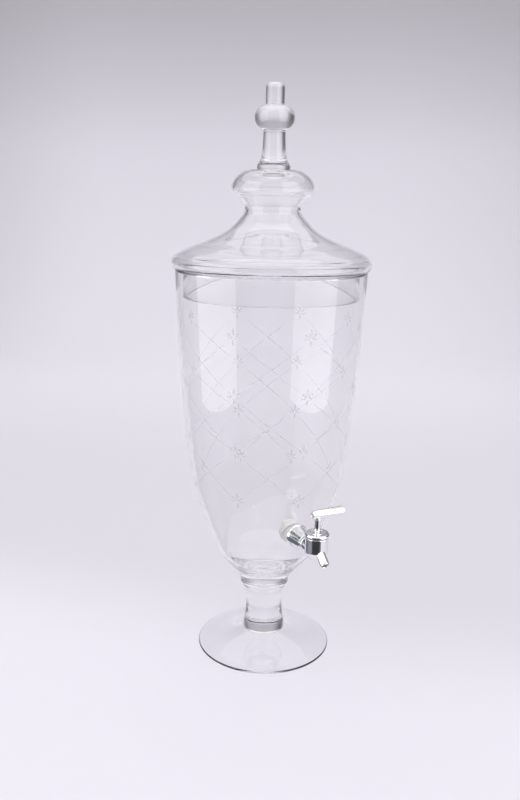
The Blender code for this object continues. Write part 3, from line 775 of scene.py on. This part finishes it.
def cast_body():
    """Barrel and neck cast in one, with a soft fillet between them."""
    radius = (body_high.x - body_low.x) / 2
    centre = body_low.z + radius
    top = body_high.z
    edge = 0.2 * MM
    bottom = arc((0, centre), (radius, radius), 0, -90, 24)
    outline = [(0, top), (radius - edge, top), (radius, top - edge), *bottom]
    barrel = turned("tap_casting", outline, 96, at=(0, -TAP_AXIS, 0))
    neck_back = -bell_low.y + SEAM
    neck = turned(
        "cutter",
        eased(
            [
                (0, TAP_AXIS, 0),
                (8.7 * MM, TAP_AXIS, 0),
                (8.7 * MM, neck_back + 3.4 * MM, 0.4 * MM),
                (8.1 * MM, neck_back + 2.9 * MM, 0.3 * MM),
                (8.7 * MM, neck_back + 2.4 * MM, 0.4 * MM),
                (8.7 * MM, neck_back, 0.5 * MM),
                (0, neck_back, 0),
            ]
        ),
        96,
        at=(0, 0, TAP_HEIGHT),
        lying=ALONG_TAP,
    )
    combine(barrel, "UNION", neck)
    remesh = barrel.modifiers.new("even skin", "REMESH")
    remesh.mode = "VOXEL"
    remesh.voxel_size = 0.32 * MM
    soften = barrel.modifiers.new("fillet", "SMOOTH")
    soften.factor = 0.5
    soften.iterations = 7
    settle(barrel, 60)
    chamber = plain_rod(7.1 * MM, centre - 7.3 * MM, top + 4 * MM, facets=64, at=(0, -TAP_AXIS, 0))
    on_tap = {"facets": 48, "at": (0, 0, TAP_HEIGHT), "lying": ALONG_TAP}
    inlet = plain_rod(SHANK_BORE, neck_back - 4 * MM, TAP_AXIS - 3 * MM, **on_tap)
    outlet = plain_rod(3.2 * MM, TAP_AXIS + 3 * MM, TAP_AXIS + 30 * MM, **on_tap)
    combine(barrel, "DIFFERENCE", chamber, inlet, outlet, crease=45)
    dress(barrel, CHROME, "chrome", "vessel", "tap_body")


def threaded_shank():
    """The shank through the glass, with a rolled thread and a plain bored end."""
    near, far = -body_high.y, -bell_low.y + SEAM
    pitch, depth = 1.25 * MM, 0.45 * MM
    rows = int((far - near) / (pitch / 8))
    heights = [far - (far - near) * row / rows for row in range(rows + 1)]
    outline = [(SHANK_RADIUS, z) for z in heights] + [(SHANK_BORE, near), (SHANK_BORE, far)]
    shank = turned("threaded_shank", outline, 72, True, at=(0, 0, TAP_HEIGHT), lying=ALONG_TAP)
    for vertex in shank.data.vertices:
        x, z = vertex.co.x, vertex.co.z - TAP_HEIGHT
        radius = math.hypot(x, z)
        if radius < 0.9 * SHANK_RADIUS:
            continue
        turn = (-vertex.co.y / pitch - math.atan2(z, x) / (2 * math.pi)) % 1
        end = min(1, (-vertex.co.y - near) / (1.2 * pitch))
        new = SHANK_RADIUS - depth * abs(2 * turn - 1) ** 1.2 * 1.0 - (1 - end) * 0.6 * MM
        vertex.co.x, vertex.co.z = x * new / radius, TAP_HEIGHT + z * new / radius
    dress(shank, CHROME, "chrome", "vessel")


def spout():
    """A tilted tube, rooted on the barrel, with a rolled end."""
    low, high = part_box("tap_spout")
    tilt = math.radians(52)
    radius, bore = 5.0 * MM, 3.6 * MM
    # The lowest corner of the square-cut end lies one radius in along the end's face.
    end = Vector((0, low.y + radius * math.cos(tilt), low.z + radius * math.sin(tilt)))
    length = 24 * MM
    outline = eased(
        [
            (radius - 0.25 * MM, 0, 0.5 * MM),
            (radius, -1.5 * MM, 0.5 * MM),
            (radius, -length, 0),
            (bore, -length, 0),
            (bore + 0.1 * MM, -1.0 * MM, 0.3 * MM),
            (bore + 0.4 * MM, 0, 0.4 * MM),
        ],
        5,
    )
    pipe = turned("spout_tube", outline, 80, True, at=end, lying=(math.pi - tilt, 0, 0))
    barrel_radius = (body_high.x - body_low.x) / 2
    centre = body_low.z + barrel_radius
    inner = barrel_radius - 0.4 * MM
    top = high.z + 30 * MM
    barrel = [(0, top), (inner, top), *arc((0, centre), (inner, inner), 0, -90, 24)]
    keep = turned("cutter", barrel, 96, at=(0, -TAP_AXIS, 0))
    behind = plain_rod(0.05, 0, 0.4, at=(0, 0.05 - TAP_AXIS, 0))
    combine(pipe, "DIFFERENCE", keep, behind)
    dress(pipe, CHROME, "chrome", "vessel", "tap_spout")


def bonnet():
    radius = BONNET.radius
    hole = 3.55 * MM
    top, seat, low = BONNET.high, BONNET.high - 3.5 * MM, BONNET.low
    corners = [
        (hole, top - 0.5 * MM, 0.2 * MM),
        (hole + 0.5 * MM, top, 0.3 * MM),
        (6.2 * MM, top, 0.3 * MM),
        (6.6 * MM, top - 0.5 * MM, 0.3 * MM),
        (7.4 * MM, top - 0.5 * MM, 0.3 * MM),
        (7.9 * MM, top, 0.3 * MM),
        (radius - 1.3 * MM, top, 1.1 * MM),
        (radius, top - 1.3 * MM, 1.1 * MM),
        (radius, seat + 0.2 * MM, 0.5 * MM),
        (radius - 0.5 * MM, seat, 0.2 * MM),
        (6.8 * MM, seat, 0.1 * MM),
        (6.8 * MM, low, 0.1 * MM),
        (hole, low, 0),
    ]
    ring = turned("bonnet_ring", eased(corners), 96, True, at=(0, -TAP_AXIS, 0))
    dress(ring, CHROME, "chrome", "vessel", "tap_bonnet")


def turning_stem():
    """The stem with a small ferrule under the bar."""
    low, high = STEM_ROD.low, STEM_ROD.high
    under_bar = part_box("handle_bar")[0].z + 0.7 * MM
    shoulder = low + 5.0 * MM
    radius = STEM_ROD.radius
    corners = [
        (0, high, 0),
        (radius, high, 0.2 * MM),
        (radius, under_bar + 0.4 * MM, 0),
        (radius + 0.9 * MM, under_bar + 0.1 * MM, 0.3 * MM),
        (radius + 0.9 * MM, under_bar - 1.3 * MM, 0.4 * MM),
        (radius, under_bar - 1.6 * MM, 0.2 * MM),
        (radius, shoulder, 0.2 * MM),
        (radius - 1.0 * MM, shoulder, 0),
        (radius - 1.0 * MM, low, 0.2 * MM),
        (0, low, 0),
    ]
    rod = turned("turning_stem", eased(corners), 72, at=(0, -TAP_AXIS, 0))
    dress(rod, CHROME, "chrome", "tap_valve", "valve_stem")


def bar():
    """The off-centre cross bar, thicker at its long end, with a turned groove near its short end."""
    low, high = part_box("handle_bar")
    end_radius = (high.z - low.z) / 2
    radius = 4.5 * MM
    height = (high.z + low.z) / 2
    groove = low.x + 2.2 * MM
    corners = [
        (0, high.x, 0),
        (end_radius, high.x, 0.9 * MM),
        (radius, groove + 0.5 * MM, 0.2 * MM),
        (radius - 0.6 * MM, groove + 0.25 * MM, 0.15 * MM),
        (radius - 0.6 * MM, groove - 0.25 * MM, 0.15 * MM),
        (radius, groove - 0.5 * MM, 0.2 * MM),
        (radius, low.x, 0.8 * MM),
        (2.3 * MM, low.x, 0.2 * MM),
        (1.8 * MM, low.x + 0.5 * MM, 0),
        (1.8 * MM, -3.6 * MM, 0),
        (0, -3.6 * MM, 0),
    ]
    piece = turned("cross_bar", eased(corners, 6), 96, at=(0, -TAP_AXIS, height), lying=ALONG_BAR)
    socket = plain_rod(3.55 * MM, low.z - 5 * MM, height + 2.3 * MM, facets=64, at=(0, -TAP_AXIS, 0))
    combine(piece, "DIFFERENCE", socket)
    dress(piece, CHROME, "chrome", "tap_valve", "handle_bar")
    grub_screw()


def grub_screw():
    low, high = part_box("handle_screw")
    height = (high.z + low.z) / 2
    corners = [(0, high.x, 0), (1.5 * MM, high.x, 0.3 * MM), (1.5 * MM, low.x, 0.2 * MM), (0, low.x, 0)]
    screw = turned("grub_screw", eased(corners), 48, at=(0, -TAP_AXIS, height), lying=ALONG_BAR)
    key = turned(
        "cutter",
        [(0, low.x + 1.6 * MM), (0.85 * MM, low.x + 1.4 * MM), (0.85 * MM, low.x - MM), (0, low.x - MM)],
        6,
        at=(0, -TAP_AXIS, height),
        lying=ALONG_BAR,
    )
    combine(screw, "DIFFERENCE", key)
    dress(screw, STEEL, "stainless_steel", "tap_valve", "handle_screw")


def inner_nodes():
    """The CAD pieces that stay get their finish."""
    for name, look in (
        ("bonnet_packing", PACKING),
        ("valve_plug", BRASS),
        ("plug_ring_upper", RUBBER),
        ("plug_ring_lower", RUBBER),
    ):
        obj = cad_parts[name]
        obj.data.materials.clear()
        obj.data.materials.append(look)


# The studio -----------------------------------------------------------------------------------------
VIEW_SIDE = math.radians(-24.75)  # the camera's side of the object, from -Y towards +X
FORWARD = Vector((-math.sin(VIEW_SIDE), math.cos(VIEW_SIDE), 0))
RIGHT = Vector((math.cos(VIEW_SIDE), math.sin(VIEW_SIDE), 0))
PAPER = (0.865, 0.848, 0.90, 1)


def camera():
    data = bpy.data.cameras.new("camera")
    data.lens = 37.42
    data.sensor_width = 36
    obj = bpy.data.objects.new("camera", data)
    bpy.context.scene.collection.objects.link(obj)
    distance, height, aside = 0.92, 0.5327, 9.6 * MM
    pitch, roll = math.radians(14.09), math.radians(1.15)
    look = FORWARD * math.cos(pitch) - Vector((0, 0, math.sin(pitch)))
    turn = look.to_track_quat("-Z", "Y").to_matrix().to_4x4() @ Matrix.Rotation(roll, 4, "Z")
    place = -FORWARD * distance - RIGHT * aside + Vector((0, 0, height))
    obj.matrix_world = Matrix.Translation(place) @ turn
    bpy.context.scene.camera = obj


def studio_spot(angle, distance, height):
    """A place round the object; the angle in degrees is from the camera's side towards its right."""
    a = math.radians(angle)
    return (-FORWARD * math.cos(a) + RIGHT * math.sin(a)) * distance + Vector((0, 0, height))


def painted_light_paper():
    """Pale paper with painted shade and light: greyer round the sides, high up and behind the camera, lighter
    towards the front of the floor, and painted to glow at the back although it is no lamp.
    """
    made = bpy.data.materials.new("studio_paper_painted_light")
    made.use_nodes = True
    tree = made.node_tree
    link = tree.links.new
    shader = tree.nodes["Principled BSDF"]
    shader.inputs["Roughness"].default_value = 0.9
    shader.inputs["Specular IOR Level"].default_value = 0.1
    place = node(tree, "ShaderNodeTexCoord")

    def measured(axis, start, stop, first, last):
        """A value that eases from first to last as the place goes along the axis."""
        along = node(tree, "ShaderNodeVectorMath", operation="DOT_PRODUCT")
        along.inputs[1].default_value = axis
        level = node(tree, "ShaderNodeMapRange", interpolation_type="SMOOTHSTEP")
        level.inputs["From Min"].default_value = start
        level.inputs["From Max"].default_value = stop
        level.inputs["To Min"].default_value = first
        level.inputs["To Max"].default_value = last
        link(place.outputs["Object"], along.inputs[0])
        link(along.outputs["Value"], level.inputs["Value"])
        return level.outputs["Result"]

    def times(one, other):
        product = node(tree, "ShaderNodeMath", operation="MULTIPLY")
        link(one, product.inputs[0])
        link(other, product.inputs[1])
        return product.outputs["Value"]

    # Painted light and shade: lighter towards the front of the floor, darker behind the camera and high up,
    # greyer round the sides, nearly black far to the left and darker far to the right above the floor.
    floor = measured(FORWARD + 0.3 * RIGHT, -0.12, 0.20, 1.0, 0.86)
    behind = measured(FORWARD, -1.9, -0.6, 0.55, 1.0)
    up = measured(Vector((0, 0, 1)), 0.62, 1.45, 1.0, 0.57)
    sides = times(measured(RIGHT, -1.5, -0.6, 0.72, 1.0), measured(RIGHT, 0.4, 1.7, 1.0, 0.79))
    far_side_shade = node(tree, "ShaderNodeMath", operation="MAXIMUM")
    far_left = measured(RIGHT, -2.0, -1.1, 0.05, 1.0)
    far_right = measured(RIGHT, 1.4, 2.4, 1.0, 0.30)
    link(times(far_left, far_right), far_side_shade.inputs[0])
    link(measured(Vector((0, 0, 1)), 0.15, 0.5, 1.0, 0.0), far_side_shade.inputs[1])
    paper = times(times(floor, behind), times(up, times(sides, far_side_shade.outputs["Value"])))
    tint = node(tree, "ShaderNodeMix", data_type="RGBA")
    tint.inputs["A"].default_value = (0, 0, 0, 1)
    tint.inputs["B"].default_value = PAPER
    link(paper, tint.inputs["Factor"])
    link(tint.outputs["Result"], shader.inputs["Base Color"])
    # Painted glow: the paper at the back gives off a little light in its own colour, though it is no lamp.
    glow = node(tree, "ShaderNodeMix", data_type="RGBA")
    glow.inputs["A"].default_value = (0, 0, 0, 1)
    glow.inputs["B"].default_value = PAPER
    link(measured(FORWARD, 0.5, 1.5, 0.0, 1.0), glow.inputs["Factor"])
    link(glow.outputs["Result"], shader.inputs["Emission Color"])
    shader.inputs["Emission Strength"].default_value = 0.11
    return made


def sweep():
    """A round floor that curves up into a wall all round."""
    floor, bend, top = 1.9, 0.9, 2.4
    curve = arc((floor, bend), (bend, bend), -85, 0, 16)
    outline = [(0, -0.2 * MM), (floor, -0.2 * MM), *curve, (floor + bend, top)]
    obj = turned("studio_sweep", outline, 128)
    obj.data.materials.append(painted_light_paper())


def lamp(name, place, aim, width, tall, radiance, lights_things):
    """A soft rectangular lamp, which either lights things or only shows in reflections."""
    data = bpy.data.lights.new(name, "AREA")
    data.shape = "RECTANGLE"
    data.size, data.size_y = width, tall
    data.energy = radiance * math.pi * width * tall
    obj = bpy.data.objects.new(name, data)
    bpy.context.scene.collection.objects.link(obj)
    obj.location = place
    obj.rotation_euler = (aim - place).to_track_quat("-Z", "Y").to_euler()
    obj.visible_camera = False
    obj.visible_transmission = False
    obj.visible_diffuse = lights_things
    obj.visible_glossy = not lights_things


def lamps():
    """Two standing panels and one overhead that show in the glass, and a soft fill from the front."""
    for name, angle in (("left_panel", -66), ("right_panel", 52)):
        place = studio_spot(angle, 0.80, 0.735)
        lamp(name, place, Vector((0, 0, place.z)), 0.80, 1.43, 2.2, False)
    lamp("top_panel", Vector((0, 0, 1.7)) - 0.1 * FORWARD, Vector((0, 0, 0.3)), 1.3, 1.3, 1.5, False)
    fill = studio_spot(-35, 1.3, 1.1)
    lamp("front_fill", fill, Vector((0, 0, 0.3)), 0.8, 0.8, 0.8, True)


def dark_cloths():
    """Dark cloths on the table round the front, seen in reflections only."""
    tap_foot = Vector((0, -TAP_AXIS, 1 * MM))
    for name, start, stop, colour in (
        ("grey_cloth", -130, -52, (0.11, 0.13, 0.17, 1)),
        ("dark_cloth", -52, 36, (0.01, 0.01, 0.015, 1)),
    ):
        bm = bmesh.new()
        rows = []
        for angle in np.linspace(start, stop, 13):
            out = studio_spot(angle, 1, 0)
            rows.append([bm.verts.new(tap_foot + reach * out) for reach in (0.24, 1.3)])
        for near, far in zip(rows, rows[1:]):
            bm.faces.new((near[0], far[0], far[1], near[1]))
        mesh = bpy.data.meshes.new(name)
        bm.to_mesh(mesh)
        bm.free()
        obj = bpy.data.objects.new(name, mesh)
        bpy.context.scene.collection.objects.link(obj)
        made = bpy.data.materials.new(name)
        made.use_nodes = True
        made.node_tree.nodes["Principled BSDF"].inputs["Base Color"].default_value = colour
        mesh.materials.append(made)
        obj.visible_camera = False
        obj.visible_diffuse = False
        obj.visible_transmission = False
        obj.visible_shadow = False


def studio_air():
    """Even light on everything. Glass and chrome see it a little darker, as they would a ceiling."""
    made = bpy.data.worlds.new("studio_air")
    bpy.context.scene.world = made
    made.use_nodes = True
    tree = made.node_tree
    background = tree.nodes["Background"]
    background.inputs["Color"].default_value = (0.985, 0.97, 1.0, 1)
    path = node(tree, "ShaderNodeLightPath")
    seen = node(tree, "ShaderNodeMath", operation="MAXIMUM")
    strength = node(tree, "ShaderNodeMix", data_type="FLOAT")
    strength.inputs[2].default_value = 1.60
    strength.inputs[3].default_value = 0.9
    link = tree.links.new
    link(path.outputs["Is Glossy Ray"], seen.inputs[0])
    link(path.outputs["Is Transmission Ray"], seen.inputs[1])
    link(seen.outputs["Value"], strength.inputs[0])
    link(strength.outputs[0], background.inputs["Strength"])


vessel()
lid()
cut_pattern()
clamp()
bell()
cast_body()
threaded_shank()
spout()
bonnet()
turning_stem()
bar()
inner_nodes()
camera()
sweep()
studio_air()
lamps()
dark_cloths()
bpy.context.scene.view_settings.view_transform = "Standard"
# Light crosses many walls of glass and turns back inside the thick ones, so it needs many bounces.
bpy.context.scene.cycles.max_bounces = 28
bpy.context.scene.cycles.glossy_bounces = 14
bpy.context.scene.cycles.transmission_bounces = 28
